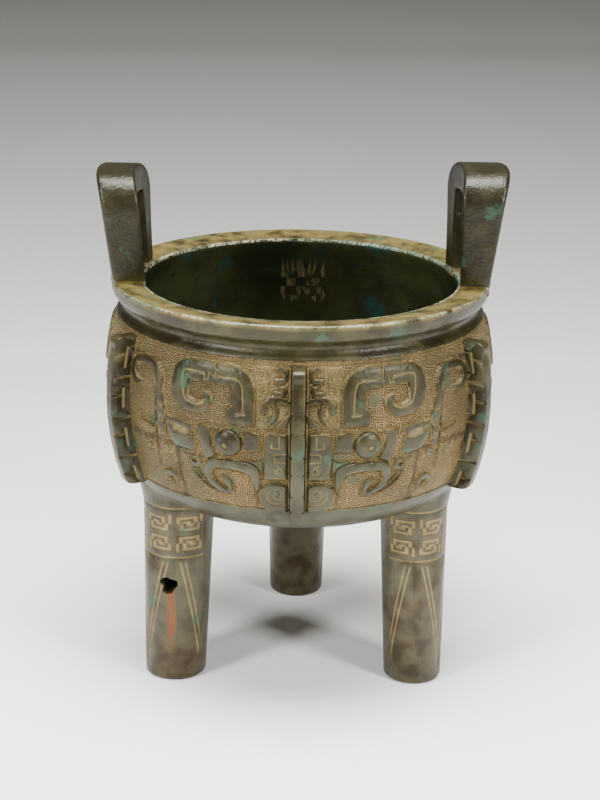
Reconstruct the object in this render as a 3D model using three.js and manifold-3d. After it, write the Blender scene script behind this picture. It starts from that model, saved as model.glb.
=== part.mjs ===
// A bronze ding: a round cauldron of ancient China on three column legs, cast in one piece.
// Its bowl stands under a flat lip with two upright loop handles, and its wall carries three
// animal masks in high relief, each centred on a flange and parted from the next by another.
//
// Millimetres, +Z up. The origin is on the ground below the middle of the bowl, and -Y is the front.
// Azimuths are in degrees about Z, 0 at the front and +90 at +X.
import * as THREE from "three";
import { mergeVertices } from "three/addons/utils/BufferGeometryUtils.js";
import Module from "manifold-3d";

const wasm = await Module();
wasm.setup();

// ---- Driving dimensions ----------------------------------------------------------------------

const LIP = { radius: 90, inner: 74.7, top: 192.5, dip: 1.9, face: 7.7, undercut: 1.2, edge: 0.8, throat: 5.5 };
const NECK = { radius: 84.6, height: 180.2, flare: 0.8, half: 2.5 }; // the hollow between lip and band
const BAND = { bottom: 106.5, top: 175.8 }; // the decorated zone of the wall
const BELLY = { radius: 91.6, height: 144, bend: 0.0045 }; // the wall's radius falls as a parabola
const WALL = 5.2; // thickness of the bowl
const SHOULDER = { inside: 166.8, neck: 5.8 }; // where the inner wall turns in, and its thickness at the neck
const UNDERSIDE = { shoulder: 103.5, bottom: 82, reach: 77.7 }; // reach: where the curve is aimed
const COLUMNS = 36; // facets round the bowl
const CLEAR = 1; // how far a cutter runs past the face that it opens

const FLANGE = {
  azimuths: [0, 60, 120, 180, 240, 300], thickness: 6, depth: 9.1, beak: 1.1, root: 2.5, top: 174.2, bottom: 102.2,
};
const FLANGE_CUT = { depth: 0.8, width: 1.5, pitch: 19.4, first: 8.2, between: 0.7, bar: 9.2, in: 2.6, lineIn: 0.8 };

const MASKS = [0, 120, 240]; // azimuth of each mask's nose
const PANEL_RADIUS = 91.6; // widths on a mask are arcs at this radius

const HANDLE = {
  inner: 74.4, outer: 89.7, half: 22.4, limb: 11, crown: 13, bevel: 1.3, // crown: height of the arch over its eye
  tops: { left: 243, right: 246 }, lean: { all: 0.01, outside: 0.055 }, // outward, per mm of height
  shoulder: { outside: 15, eye: 8 }, camber: { outside: 2, eye: 1.5 }, sunk: { limb: 4, eye: 1.2 },
};

const LEG = {
  footCircle: 66.5, topCircle: 64, footRadius: 13.8, taper: 2.6, top: 101, sides: 16,
  edge: 1.2, flare: { height: 14, out: 2 }, // the foot's rounded edge, and the spread into the bowl
};
const LEGS = [
  { azimuth: -61, stouter: 0.8, flawed: true }, // front left
  { azimuth: 60, stouter: 0 }, // front right
  { azimuth: 180, stouter: 0 }, // rear
];
const BLADE = { top: 62, bottom: 12, half: 9.4, tip: 1.6, cut: 0.8, width: 2.1, draft: 0.45, spacing: 27 };
const FLAW = { height: 50.5, azimuth: -13, radius: 4.5, end: 3, depth: 15, sides: 11 }; // a casting hole

// ---- Solids ----------------------------------------------------------------------------------

const radians = THREE.MathUtils.degToRad;

/** A closed geometry as a manifold solid, turned to face outwards. */
function solid(geometry) {
  const bare = new THREE.BufferGeometry();
  bare.setAttribute("position", geometry.getAttribute("position").clone());
  if (geometry.index) bare.setIndex(geometry.index.clone());
  const merged = mergeVertices(bare, 1e-4);
  const triVerts = new Uint32Array(merged.index.array);
  const vertProperties = merged.getAttribute("position").array;
  const made = new wasm.Manifold(new wasm.Mesh({ numProp: 3, vertProperties, triVerts }));
  if (made.volume() > 0) return made;
  for (let i = 0; i < triVerts.length; i += 3) triVerts.subarray(i + 1, i + 3).reverse();
  return new wasm.Manifold(new wasm.Mesh({ numProp: 3, vertProperties, triVerts }));
}

/** A geometry from rows of points, each row a closed ring, with a fan over both ends. */
function skin(rings) {
  const count = rings[0].length;
  const positions = [];
  const index = [];
  for (const ring of rings) for (const p of ring) positions.push(p.x, p.y, p.z);
  for (let row = 0; row + 1 < rings.length; row++) {
    for (let i = 0; i < count; i++) {
      const a = row * count + i;
      const b = row * count + ((i + 1) % count);
      index.push(a, b, b + count, a, b + count, a + count);
    }
  }
  const last = (rings.length - 1) * count;
  for (let i = 1; i + 1 < count; i++) {
    index.push(0, i + 1, i);
    index.push(last, last + i, last + i + 1);
  }
  const geometry = new THREE.BufferGeometry();
  geometry.setAttribute("position", new THREE.Float32BufferAttribute(positions, 3));
  geometry.setIndex(index);
  return geometry;
}

const unite = (solids) => solids.reduce((all, next) => all.add(next));

// ---- The bowl --------------------------------------------------------------------------------

/** Radius of the smooth wall, before any relief, at a height within the band. */
const wallRadius = (z) => BELLY.radius - BELLY.bend * (z - BELLY.height) ** 2;

/** Points of a curve from the foot of the wall to the middle of the underside, inset by a thickness. */
function undersideCurve(inset, steps) {
  const start = new THREE.Vector2(wallRadius(UNDERSIDE.shoulder) - inset, UNDERSIDE.shoulder);
  const aim = new THREE.Vector2(UNDERSIDE.reach - inset, UNDERSIDE.bottom + inset);
  const end = new THREE.Vector2(0, UNDERSIDE.bottom + inset);
  return new THREE.QuadraticBezierCurve(start, aim, end).getPoints(steps);
}

const arcOfWall = (from, to, inset, steps) =>
  Array.from({ length: steps + 1 }, (_, i) => {
    const z = THREE.MathUtils.lerp(from, to, i / steps);
    return new THREE.Vector2(wallRadius(z) - inset, z);
  });

function revolve(profile) {
  return solid(new THREE.LatheGeometry(profile, COLUMNS).rotateX(Math.PI / 2));
}

function bowlOutside() {
  return revolve([
    new THREE.Vector2(0, LIP.top - LIP.dip),
    new THREE.Vector2(LIP.inner, LIP.top - LIP.dip),
    new THREE.Vector2(LIP.radius - LIP.edge, LIP.top),
    new THREE.Vector2(LIP.radius, LIP.top - LIP.edge),
    new THREE.Vector2(LIP.radius - LIP.undercut, LIP.top - LIP.face),
    new THREE.Vector2(NECK.radius + NECK.flare, NECK.height + NECK.half),
    new THREE.Vector2(NECK.radius, NECK.height),
    new THREE.Vector2(NECK.radius + NECK.flare, NECK.height - NECK.half),
    ...arcOfWall(BAND.top, UNDERSIDE.shoulder, 0, 5),
    ...undersideCurve(0, 5).slice(1),
  ]);
}

function bowlInside() {
  return revolve([
    new THREE.Vector2(0, LIP.top + CLEAR),
    new THREE.Vector2(LIP.inner, LIP.top + CLEAR),
    new THREE.Vector2(LIP.inner, LIP.top - LIP.throat),
    new THREE.Vector2(NECK.radius - SHOULDER.neck, NECK.height),
    ...arcOfWall(SHOULDER.inside, UNDERSIDE.shoulder, WALL, 2),
    ...undersideCurve(WALL, 4).slice(1),
  ]);
}

// ---- Relief laid on a curved surface ---------------------------------------------------------

/** Maps a mask's own (across, up) millimetres and a lift off the wall to space. */
const maskSurface = (azimuth, side) => (across, up, lift) => {
  const z = BAND.bottom + up;
  const a = radians(azimuth) + (side * across) / PANEL_RADIUS;
  const r = wallRadius(z) + lift;
  return new THREE.Vector3(r * Math.sin(a), -r * Math.cos(a), z);
};

/**
 * A band along a path of [across, up, half width], standing proud of a surface between two lifts.
 * Its sides lean in by the draft.
 */
function ribbon(surface, path, { from, to, draft = 0.5 }) {
  const rings = path.map(([x, y, half], i) => {
    const [x0, y0] = path[Math.max(i - 1, 0)];
    const [x1, y1] = path[Math.min(i + 1, path.length - 1)];
    const length = Math.hypot(x1 - x0, y1 - y0);
    const nx = -(y1 - y0) / length;
    const ny = (x1 - x0) / length;
    const at = (offset, lift) => surface(x + nx * offset, y + ny * offset, lift);
    const crest = Math.max(half - draft, half * 0.3);
    return [at(-half, from), at(-crest, to), at(crest, to), at(half, from)];
  });
  return solid(skin(rings));
}

/** A flat-topped plate over a convex outline of [across, up] points. */
function plate(surface, outline, { from, to, shrink = 0.9 }) {
  const cx = outline.reduce((sum, [x]) => sum + x, 0) / outline.length;
  const cy = outline.reduce((sum, [, y]) => sum + y, 0) / outline.length;
  const ring = (share, lift) =>
    outline.map(([x, y]) => surface(cx + (x - cx) * share, cy + (y - cy) * share, lift));
  return solid(skin([ring(1, from), ring(shrink, to)]));
}

/** A low dome. */
function eyeball(surface, [x, y], radius, { from, to }) {
  const ring = (r, lift) =>
    Array.from({ length: 8 }, (_, i) => {
      const a = (i / 8) * 2 * Math.PI;
      return surface(x + r * Math.cos(a), y + r * Math.sin(a), lift);
    });
  return solid(skin([ring(radius, from), ring(radius * 0.95, (from + to) / 2), ring(radius / 2, to)]));
}

// ---- The mask, as one half that is mirrored about the nose ------------------------------------

const SUNK = -1.6; // how far the relief is rooted in the wall
const HIGH = 1.8;
const MIDDLE = 1.3;

// Paths are [across, up, half width], from the nose outwards and from the foot of the band up.
const HORN = [
  [25.6, 39.4, 5.6], [25.2, 52, 5.3], [29, 60, 5], [41, 61.6, 4.7], [53, 61, 4.6], [57, 55.4, 4.2],
  [53.6, 47.6, 3.2], [46.6, 46.2, 2.4], [42.4, 49.2, 2], [44.6, 53.4, 0.8],
];
const JAW = [
  [18.2, 8.6, 2.2], [20.4, 18.4, 2.5], [28, 21.4, 2.6], [38.6, 21.2, 2.5], [41.8, 16, 2.3], [38, 9, 2],
  [29.2, 6.8, 0.7],
];
const TAIL = [
  [81, 51.4, 1.2], [86.4, 53.4, 2.1], [86.2, 59, 2.4], [76, 60.8, 2.5], [70, 56.8, 2.6], [68.7, 44, 2.3],
];
const BODY = [[68.7, 44.6, 1.9], [68.4, 30, 1.9], [69.4, 20, 1.5], [68, 12.6, 0.9]];
const CLAW = [[68.6, 11, 1], [65, 15.6, 1.8], [60.4, 11, 0.8]];
const EAR = [[48.8, 26.6], [56, 27], [61.6, 32.6], [63, 38.8], [51.4, 38.4]];
const CHEEK = [[36.2, 23.6], [43.6, 22], [47.4, 38.6], [39.6, 38.2]];
const NOSE = [[3.6, 12.8], [15.6, 12.8], [16.4, 38.4], [3.6, 38.4]];
const NOSTRIL = [[3.6, -2], [14.6, 0.6], [17.4, 10.6], [3.6, 12.2]];
const EYE = { at: [31.6, 30.9], radius: 6.2 };

function halfMask(azimuth, side) {
  const surface = maskSurface(azimuth, side);
  const band = (path, options) => ribbon(surface, path, { from: SUNK, ...options });
  const block = (outline, to) => plate(surface, outline, { from: SUNK, to });
  return [
    band(HORN, { to: HIGH, draft: 0.9 }),
    band(JAW, { to: HIGH, draft: 0.6 }),
    band(TAIL, { to: HIGH, draft: 0.6 }),
    band(BODY, { to: 1 }),
    band(CLAW, { to: MIDDLE, draft: 0.6 }),
    ...[EAR, CHEEK, NOSE, NOSTRIL].map((outline) => block(outline, MIDDLE)),
    eyeball(surface, EYE.at, EYE.radius, { from: SUNK, to: 3.6 }),
  ];
}

// ---- Flanges ---------------------------------------------------------------------------------

/** Puts (radius, height, offset from the mid plane) of a radial slab into space at an azimuth. */
function radialPoint(azimuth, r, z, offset) {
  const a = radians(azimuth);
  return new THREE.Vector3(
    r * Math.sin(a) + offset * Math.cos(a), -r * Math.cos(a) + offset * Math.sin(a), z,
  );
}

/** A slab in a radial plane: an outline of [radius, height] between two offsets from its mid plane. */
function radialSlab(azimuth, outline, offsetA, offsetB) {
  return solid(skin([offsetA, offsetB].map((o) => outline.map(([r, z]) => radialPoint(azimuth, r, z, o)))));
}

function flangeOutline() {
  const { top, bottom, depth, beak } = FLANGE;
  const edge = (share, out = 0) => {
    const z = THREE.MathUtils.lerp(top, bottom, share);
    return [wallRadius(z) + depth + out, z];
  };
  const root = wallRadius(bottom) - FLANGE.root;
  const nose = [edge(0, -beak), edge(0.02, beak)];
  return [[root, top], ...nose, edge(0.08), edge(0.38), edge(0.7), edge(0.97), edge(1, -2 * beak), [root, bottom]];
}

/** The shallow cuts on one face: hooks of a bar and a bar's arm, parted by full-width lines. */
function flangeCuts(azimuth, side) {
  const half = FLANGE.thickness / 2;
  const { depth, width, pitch, first, between, bar, lineIn } = FLANGE_CUT;
  const [near, far] = [side * (half - depth), side * (half + CLEAR)];
  const outside = (z) => wallRadius(z) + FLANGE.depth + CLEAR;
  const cut = (outline) => radialSlab(azimuth, outline, near, far);
  const cuts = [];
  for (let z = FLANGE.top - first; z > FLANGE.bottom + bar; z -= pitch) {
    const [arm, edge, foot, under] = [wallRadius(z) + FLANGE_CUT.in, outside(z), z - bar, z - width];
    cuts.push(cut([[arm, foot], [arm + width, foot], [arm + width, under], [edge, under], [edge, z], [arm, z]]));
  }
  for (let z = FLANGE.top - first - pitch * between; z > FLANGE.bottom + bar; z -= pitch) {
    const [wall, edge] = [wallRadius(z) + lineIn, outside(z)];
    cuts.push(cut([[wall, z - width], [edge, z - width], [edge, z], [wall, z]]));
  }
  return cuts;
}

const flange = (azimuth) =>
  radialSlab(azimuth, flangeOutline(), -FLANGE.thickness / 2, FLANGE.thickness / 2).subtract(
    unite([...flangeCuts(azimuth, 1), ...flangeCuts(azimuth, -1)]),
  );

// ---- Handles ---------------------------------------------------------------------------------

/** Draws an arch: straight sides, rounded shoulders and a slightly cambered top. */
function arch(path, { half, bottom, top, shoulder, camber }) {
  const spring = top - shoulder - camber;
  const haunch = top - camber * 0.4;
  path.moveTo(-half, bottom);
  path.lineTo(half, bottom);
  path.lineTo(half, spring);
  path.quadraticCurveTo(half, haunch, half - shoulder, haunch);
  path.quadraticCurveTo(0, top + camber * 0.4, shoulder - half, haunch);
  path.quadraticCurveTo(-half, haunch, -half, spring);
  path.closePath();
  return path;
}

function handle(side, top) {
  const { inner, outer, lean, half, limb, crown, shoulder, camber, sunk, bevel } = HANDLE;
  const outside = { half: half - bevel, bottom: LIP.top - sunk.limb, top: top - bevel };
  const inside = { half: half - limb, bottom: LIP.top - sunk.eye, top: top - crown };
  const outline = arch(new THREE.Shape(), { ...outside, shoulder: shoulder.outside, camber: camber.outside });
  const eye = arch(new THREE.Path(), { ...inside, shoulder: shoulder.eye, camber: camber.eye });
  outline.holes.push(eye);
  const thickness = outer - inner;
  const geometry = new THREE.ExtrudeGeometry(outline, {
    depth: thickness - 2 * bevel, bevelThickness: bevel, bevelSize: bevel, bevelSegments: 1, curveSegments: 4,
  });
  const position = geometry.getAttribute("position");
  for (let i = 0; i < position.count; i++) {
    const [y, z, out] = [position.getX(i), position.getY(i), position.getZ(i) + bevel];
    const height = Math.max(z - LIP.top, 0);
    const rounding = height > 0 ? 0 : outer - Math.sqrt(outer ** 2 - y ** 2); // its root follows the lip
    const x = inner + out - rounding + height * (lean.all + (lean.outside * out) / thickness);
    position.setXYZ(i, side * x, y, z);
  }
  return solid(geometry);
}

// ---- Legs ------------------------------------------------------------------------------------

const legCentre = (z) => THREE.MathUtils.lerp(LEG.footCircle, LEG.topCircle, z / LEG.top);

/** Maps (arc round a leg from its outward face, height, lift) to space. */
const legSurface = ({ azimuth, stouter }) => (across, z, lift) => {
  const turn = radians(azimuth);
  const a = across / LEG.footRadius;
  const r = LEG.footRadius + stouter + (LEG.taper * z) / LEG.top + lift;
  const out = legCentre(z) + r * Math.cos(a);
  const along = r * Math.sin(a);
  return new THREE.Vector3(
    out * Math.sin(turn) + along * Math.cos(turn), -out * Math.cos(turn) + along * Math.sin(turn), z,
  );
};

function legColumn(leg) {
  const surface = legSurface(leg);
  const around = 2 * Math.PI * LEG.footRadius;
  const ring = (z, lift) =>
    Array.from({ length: LEG.sides }, (_, i) => surface((i / LEG.sides) * around, z, lift));
  const { edge, flare, top } = LEG;
  return solid(skin([ring(0, -edge), ring(edge, 0), ring(top - flare.height, 0), ring(top, flare.out)]));
}

/** The hanging blades: long wedges, each drawn by two converging lines. */
function legCuts(leg) {
  const surface = legSurface(leg);
  const { top, bottom, half, tip, cut, width, draft, spacing } = BLADE;
  const groove = (path) => ribbon(surface, path, { from: CLEAR, to: -cut, draft });
  const cuts = [];
  for (const centre of [-spacing / 2, spacing / 2]) {
    for (const side of [-1, 1]) {
      cuts.push(groove([[centre + side * half, top, width / 2], [centre + side * tip, bottom, width / 2]]));
    }
  }
  return cuts;
}

/** The cutter for the casting hole in a leg, which narrows inwards. */
function flaw({ azimuth }) {
  const { height, radius, end, depth, sides } = FLAW;
  const reach = LEG.footRadius + LEG.taper + CLEAR;
  const cutter = new THREE.CylinderGeometry(end, radius, depth, sides);
  cutter.translate(0, depth / 2 - reach, 0);
  cutter.rotateZ(radians(FLAW.azimuth));
  const turn = radians(azimuth);
  return solid(cutter.translate(legCentre(height) * Math.sin(turn), -legCentre(height) * Math.cos(turn), height));
}

// ---- The casting -----------------------------------------------------------------------------

function casting() {
  const standing = unite([
    bowlOutside(),
    ...FLANGE.azimuths.map(flange),
    ...MASKS.flatMap((azimuth) => [...halfMask(azimuth, 1), ...halfMask(azimuth, -1)]),
    ...LEGS.map((leg) => legColumn(leg).subtract(unite(legCuts(leg)))),
  ]);
  const hollowed = standing.subtract(bowlInside());
  const handled = unite([hollowed, handle(-1, HANDLE.tops.left), handle(1, HANDLE.tops.right)]);
  return handled.subtract(unite(LEGS.filter((leg) => leg.flawed).map(flaw)));
}

function geometryOf(made) {
  const mesh = made.getMesh();
  const geometry = new THREE.BufferGeometry();
  geometry.setAttribute("position", new THREE.BufferAttribute(new Float32Array(mesh.vertProperties), 3));
  geometry.setIndex(new THREE.BufferAttribute(new Uint32Array(mesh.triVerts), 1));
  geometry.computeVertexNormals();
  return geometry;
}

const bronze = new THREE.MeshStandardMaterial({ color: 0x5a5a45, roughness: 0.45, metalness: 0.6 });

const ding = new THREE.Group();
const vessel = new THREE.Mesh(geometryOf(casting()), bronze);
vessel.name = "ding_vessel";
ding.add(vessel);

export default ding;
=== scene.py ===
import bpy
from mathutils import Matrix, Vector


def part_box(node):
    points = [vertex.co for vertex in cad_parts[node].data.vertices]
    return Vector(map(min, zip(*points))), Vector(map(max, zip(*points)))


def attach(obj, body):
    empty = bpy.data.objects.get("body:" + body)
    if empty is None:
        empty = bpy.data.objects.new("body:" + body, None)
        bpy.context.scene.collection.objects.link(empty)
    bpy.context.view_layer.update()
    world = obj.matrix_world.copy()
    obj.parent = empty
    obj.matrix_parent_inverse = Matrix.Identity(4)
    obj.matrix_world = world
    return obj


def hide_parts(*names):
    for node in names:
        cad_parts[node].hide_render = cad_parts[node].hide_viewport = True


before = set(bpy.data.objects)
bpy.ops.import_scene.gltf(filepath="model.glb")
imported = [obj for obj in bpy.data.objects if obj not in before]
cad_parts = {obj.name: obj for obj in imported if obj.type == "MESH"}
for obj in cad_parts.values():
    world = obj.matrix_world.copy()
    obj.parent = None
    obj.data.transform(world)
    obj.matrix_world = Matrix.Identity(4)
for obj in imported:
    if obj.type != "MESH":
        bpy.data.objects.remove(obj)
"""An ancient bronze ding: a round cauldron on three legs, with masks in relief on its wall.

The whole vessel is one casting, so it is one mesh, made in the CAD's frame: +Z up, -Y the front.
Sizes are millimetres until a mesh is made. Azimuths are degrees about Z, 0 at the front, +90 at +X.
The relief is drawn on flat fields of heights, which are then wrapped on the wall, the legs and
the flanges. A field also says how deep in a cut each point is, and where the fine spiral ground
lies. The mesh carries these values, and the patina's material reads them.
"""
import math

import bmesh
import bpy
import numpy as np
from mathutils import Matrix, Vector

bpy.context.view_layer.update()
NODE = "ding_vessel"
MM = 0.001

# ---- Driving dimensions, as in the CAD ----------------------------------------------------------

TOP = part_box(NODE)[1][2] / MM  # the taller handle
LIP = dict(radius=90.0, inner=74.7, top=192.5, dip=1.9, face=7.7, throat=5.5)
NECK = dict(radius=84.6, height=180.2)
BAND = dict(bottom=106.5, top=175.8)
BELLY = dict(radius=91.6, height=144.0, bend=0.0045)
WALL = 5.2
UNDERSIDE = dict(shoulder=103.5, bottom=82.0, reach=77.7)
FLANGE = dict(thickness=6.0, depth=9.1, beak=1.1, root=2.5, top=174.2, bottom=102.2)
CLEAN_CREST = 0.9  # how far in from a flange's crest the earth in its marks starts
FLANGE_MARKS = dict(count=4, first=8.2, pitch=19.4, between=10.8, reach=5.5, full_reach=8.7, width=0.75)
FLANGE_BARS = dict(depth_in=5.9, above=2.8, below=5.8, width=0.95)
HANDLE = dict(outer=89.7, half=22.4, limb=11.0, crown=13.0, sunk=4.0, shoulder=10.0, rise=10.5)
LEFT_HANDLE = dict(inner=74.6, outer=89.7, lean_in=0.057, lean_out=0.117, twist=0.0, twist_up=0.0012)
RIGHT_HANDLE = dict(inner=74.8, outer=88.4, lean_in=-0.011, lean_out=0.14, twist=0.09, twist_up=0.0)
LOWER_LEFT = 3.0  # the left handle's top is this much lower
LEG = dict(foot_circle=66.5, top_circle=64.0, foot_radius=13.8, taper=2.6, top=101.0)
LEG_ENDS = dict(edge=2.0, spread=2.0, spread_height=14.0)
LEGS = (dict(azimuth=-61, stouter=0.8), dict(azimuth=60, stouter=0.0), dict(azimuth=180, stouter=0.0))
BLADES = dict(spacing=27.6, half=11.2, top=62, tips=(9, 19), inset=2.2)
VOLUTES = dict(across=(-20, -7, 7, 20), up=(72, 82), half=(5.6, 4.6), pitch=2.3)
LEG_LINES = dict(heights=(65, 90), half=27.0, width=0.5, depth=0.4)
FLAW = dict(height=50.5, azimuth=-13, sides=11)
FLAW_TAPER = ((24, 4.4), (12.5, 4.2), (10, 3.9), (-2, 2.8))  # from the leg's middle: how far, what radius
STROKES = dict(rows=(173, 168, 163, 158), per_row=4, pitch=5.6, shift=1.4, half=2.0, width=0.45, depth=0.45)
STROKE_TILTS = (0.9, -0.7, 0.25, -0.3)  # radians

PANEL_RADIUS = 91.6
SECTOR = 60  # degrees from a mask's nose to the flange that parts it from the next
PANEL = dict(left=0.0, right=math.radians(SECTOR) * PANEL_RADIUS, bottom=-3.0, top=69.6)
MOAT_DEPTH = 0.5  # of the sunk line round what is raised
SPIRAL_PITCH = 0.24  # of the fine square spirals, in cells
TRIANGLES = dict(half_mask=19600, leg=7000, flange=2600)
STRAY = 0.08  # how far the thinning moves a point of a half mask's border, in mm or degrees


def wall_radius(z):
    return BELLY["radius"] - BELLY["bend"] * (z - BELLY["height"]) ** 2


# ---- Flat fields of relief ----------------------------------------------------------------------


def ease(t):
    t = np.clip(t, 0, 1)
    return t * t * (3 - 2 * t)


def curve(points, steps=6):
    """A Catmull-Rom curve through points, which may carry a half width as a third value."""
    p = np.array(points, float)
    if len(p) < 3:
        return p
    p = np.vstack([2 * p[0] - p[1], p, 2 * p[-1] - p[-2]])
    t = np.linspace(0, 1, steps, endpoint=False)[:, None]
    spans = [
        0.5 * (2 * b + (c - a) * t + (2 * a - 5 * b + 4 * c - d) * t**2 + (3 * b - a - 3 * c + d) * t**3)
        for a, b, c, d in zip(p, p[1:], p[2:], p[3:])
    ]
    return np.vstack([*spans, p[-2:-1]])


def segments(path):
    return [(a, b, b[:2] - a[:2]) for a, b in zip(path, path[1:])]


class Field:
    """Heights over a flat grid, with how deep in a cut and how smooth each point is."""

    def __init__(self, left, right, bottom, top, pitch):
        self.x = np.linspace(left, right, round((right - left) / pitch) + 1)
        self.y = np.linspace(bottom, top, round((top - bottom) / pitch) + 1)
        self.X, self.Y = np.meshgrid(self.x, self.y)
        self.height, self.recess, self.raised, self.ground, self.u, self.v = (
            np.zeros_like(self.X) for _ in range(6)
        )

    def window(self, points, margin):
        p = np.array([q[:2] for q in points], float)
        low, high = p.min(0) - margin, p.max(0) + margin
        i, j = np.searchsorted(self.x, [low[0], high[0]]), np.searchsorted(self.y, [low[1], high[1]])
        return np.s_[j[0] : j[1], i[0] : i[1]]

    def outside_stroke(self, path):
        """Where, and how far outside, a band whose half width runs along its path."""
        path = np.asarray(path, float)
        widest = path[:, 2].max() if path.shape[1] > 2 else 0
        w = self.window(path, widest + 2)
        X, Y = self.X[w], self.Y[w]
        best = np.full(X.shape, 1e3)
        for a, b, d in segments(path):
            t = np.clip(((X - a[0]) * d[0] + (Y - a[1]) * d[1]) / max(d @ d, 1e-9), 0, 1)
            half = a[2] + (b[2] - a[2]) * t if len(a) > 2 else 0
            best = np.minimum(best, np.hypot(X - a[0] - t * d[0], Y - a[1] - t * d[1]) - half)
        return w, best

    def outside_polygon(self, corners):
        """Where, and how far outside, a closed outline."""
        p = np.array(corners, float)
        w = self.window(p, 2)
        X, Y = self.X[w], self.Y[w]
        best, inside = np.full(X.shape, 1e3), np.zeros(X.shape, bool)
        for a, b, d in segments(np.vstack([p, p[:1]])):
            t = np.clip(((X - a[0]) * d[0] + (Y - a[1]) * d[1]) / max(d @ d, 1e-9), 0, 1)
            best = np.minimum(best, np.hypot(X - a[0] - t * d[0], Y - a[1] - t * d[1]))
            if abs(d[1]) > 1e-9:
                inside ^= ((a[1] > Y) != (b[1] > Y)) & (X < a[0] + (Y - a[1]) * d[0] / d[1])
        return w, np.where(inside, -best, best)

    def lift(self, where, height, bevel=0.7, moat=0.45, smooth=1.0, crown=0.0, over=False):
        """Raises what lies inside an outline to a plateau, with a sunk line round it."""
        w, outside = where
        inside = ease(-outside / bevel)
        ditch = ease((moat - np.abs(outside - moat / 2)) / moat) * (outside > -0.1)
        if not over:  # the line isn't cut into what is raised already
            ditch = ditch * (1 - self.raised[w])
        ground = self.height[w] * (1 - ditch) - MOAT_DEPTH * ditch
        top = height + crown * np.clip(-outside, 0, 3)
        self.height[w] = ground * (1 - inside) + np.maximum(top, self.height[w]) * inside
        self.recess[w] = np.maximum(self.recess[w], ditch) * (1 - inside)
        self.raised[w] = np.maximum(self.raised[w] * (1 - ditch), inside * smooth)

    def band(self, path, height=1.5, **shape):
        self.lift(self.outside_stroke(curve(path)), height, **shape)

    def plate(self, corners, height=1.2, **shape):
        self.lift(self.outside_polygon(corners), height, **shape)

    def line(self, path, half=0.42, depth=0.5):
        w, distance = self.outside_stroke(path)
        cut = np.clip(1 - distance / half, 0, 1)
        self.height[w] -= depth * cut
        self.recess[w] = np.maximum(self.recess[w], ease(cut * 1.5))

    def curl(self, path, half=0.42, depth=0.5):
        self.line(curve(path), half, depth)

    def ring(self, x, y, radius, height, bump=0.5):
        """A boss with a spiral cut round its middle."""
        w = self.window([(x, y)], radius + 1)
        r = np.hypot(self.X[w] - x, self.Y[w] - y)
        self.lift((w, r - radius), height)
        self.height[w] += bump * np.clip(1 - r / radius, 0, 1)
        turn = np.linspace(0.4, 5.2, 9)
        circle = np.column_stack([np.cos(turn), np.sin(turn)])
        self.line(np.array([x, y]) + radius / 2 * circle, 0.34, 0.4)

    def sample(self, x, y):
        """Height, recess, spiral ground and its cell coordinates at points, by bilinear interpolation."""
        u = np.clip((x - self.x[0]) / (self.x[1] - self.x[0]), 0, len(self.x) - 1.001)
        v = np.clip((y - self.y[0]) / (self.y[1] - self.y[0]), 0, len(self.y) - 1.001)
        i, j = u.astype(int), v.astype(int)
        a, b = u - i, v - j

        def between(f):
            low = f[j, i] * (1 - a) + f[j, i + 1] * a
            high = f[j + 1, i] * (1 - a) + f[j + 1, i + 1] * a
            return low * (1 - b) + high * b

        bare = self.ground * (1 - self.raised)
        return [between(f) for f in (self.height, self.recess, bare, self.u, self.v)]


def spiral(u, v, half_x, half_y, turn, mirror, pitch):
    """How deep points lie in the cut of a square spiral that fills a box, from 0 to 1."""
    u = u * mirror
    for _ in range(turn % 4):
        u, v, half_x, half_y = v, -u, half_y, half_x
    least = min(half_x, half_y)
    u, v = u * least / half_x, v * least / half_y
    ring = np.where(v > 0, np.maximum(np.abs(u), v), np.maximum(np.abs(u - pitch / 2), -v))
    phase = (ring / pitch + 0.25) % 1
    return np.clip(1.6 - np.abs(phase - 0.5) * 4.4, 0, 1)


def spiral_ground(field, left, right, bottom, top, columns, rows, tilt=0.0):
    """Marks a box as spiral ground, with the material's cell coordinates over it."""
    w = np.s_[
        np.searchsorted(field.y, bottom) : np.searchsorted(field.y, top),
        np.searchsorted(field.x, left) : np.searchsorted(field.x, right),
    ]
    X, Y = field.X[w] - (left + right) / 2, field.Y[w] - (bottom + top) / 2
    c, s = math.cos(tilt), math.sin(tilt)
    field.u[w] = (X * c + Y * s + (right - left) / 2) * columns / (right - left) + 20
    field.v[w] = (-X * s + Y * c + (top - bottom) / 2) * rows / (top - bottom) + 20
    field.ground[w] = 1


# ---- The half mask, from the nose outwards (x) and from the foot of the band up (y) ---------------


def mask_ground(f):
    spiral_ground(f, 0, 96, -3, 70, 22, 17)
    spiral_ground(f, 58, 96, -3, 25, 9, 7, 0.6)
    spiral_ground(f, 19, 58, -3, 22, 9, 6, 0.15)
    spiral_ground(f, 72, 96, 25, 62, 6, 9, 0.12)


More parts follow.
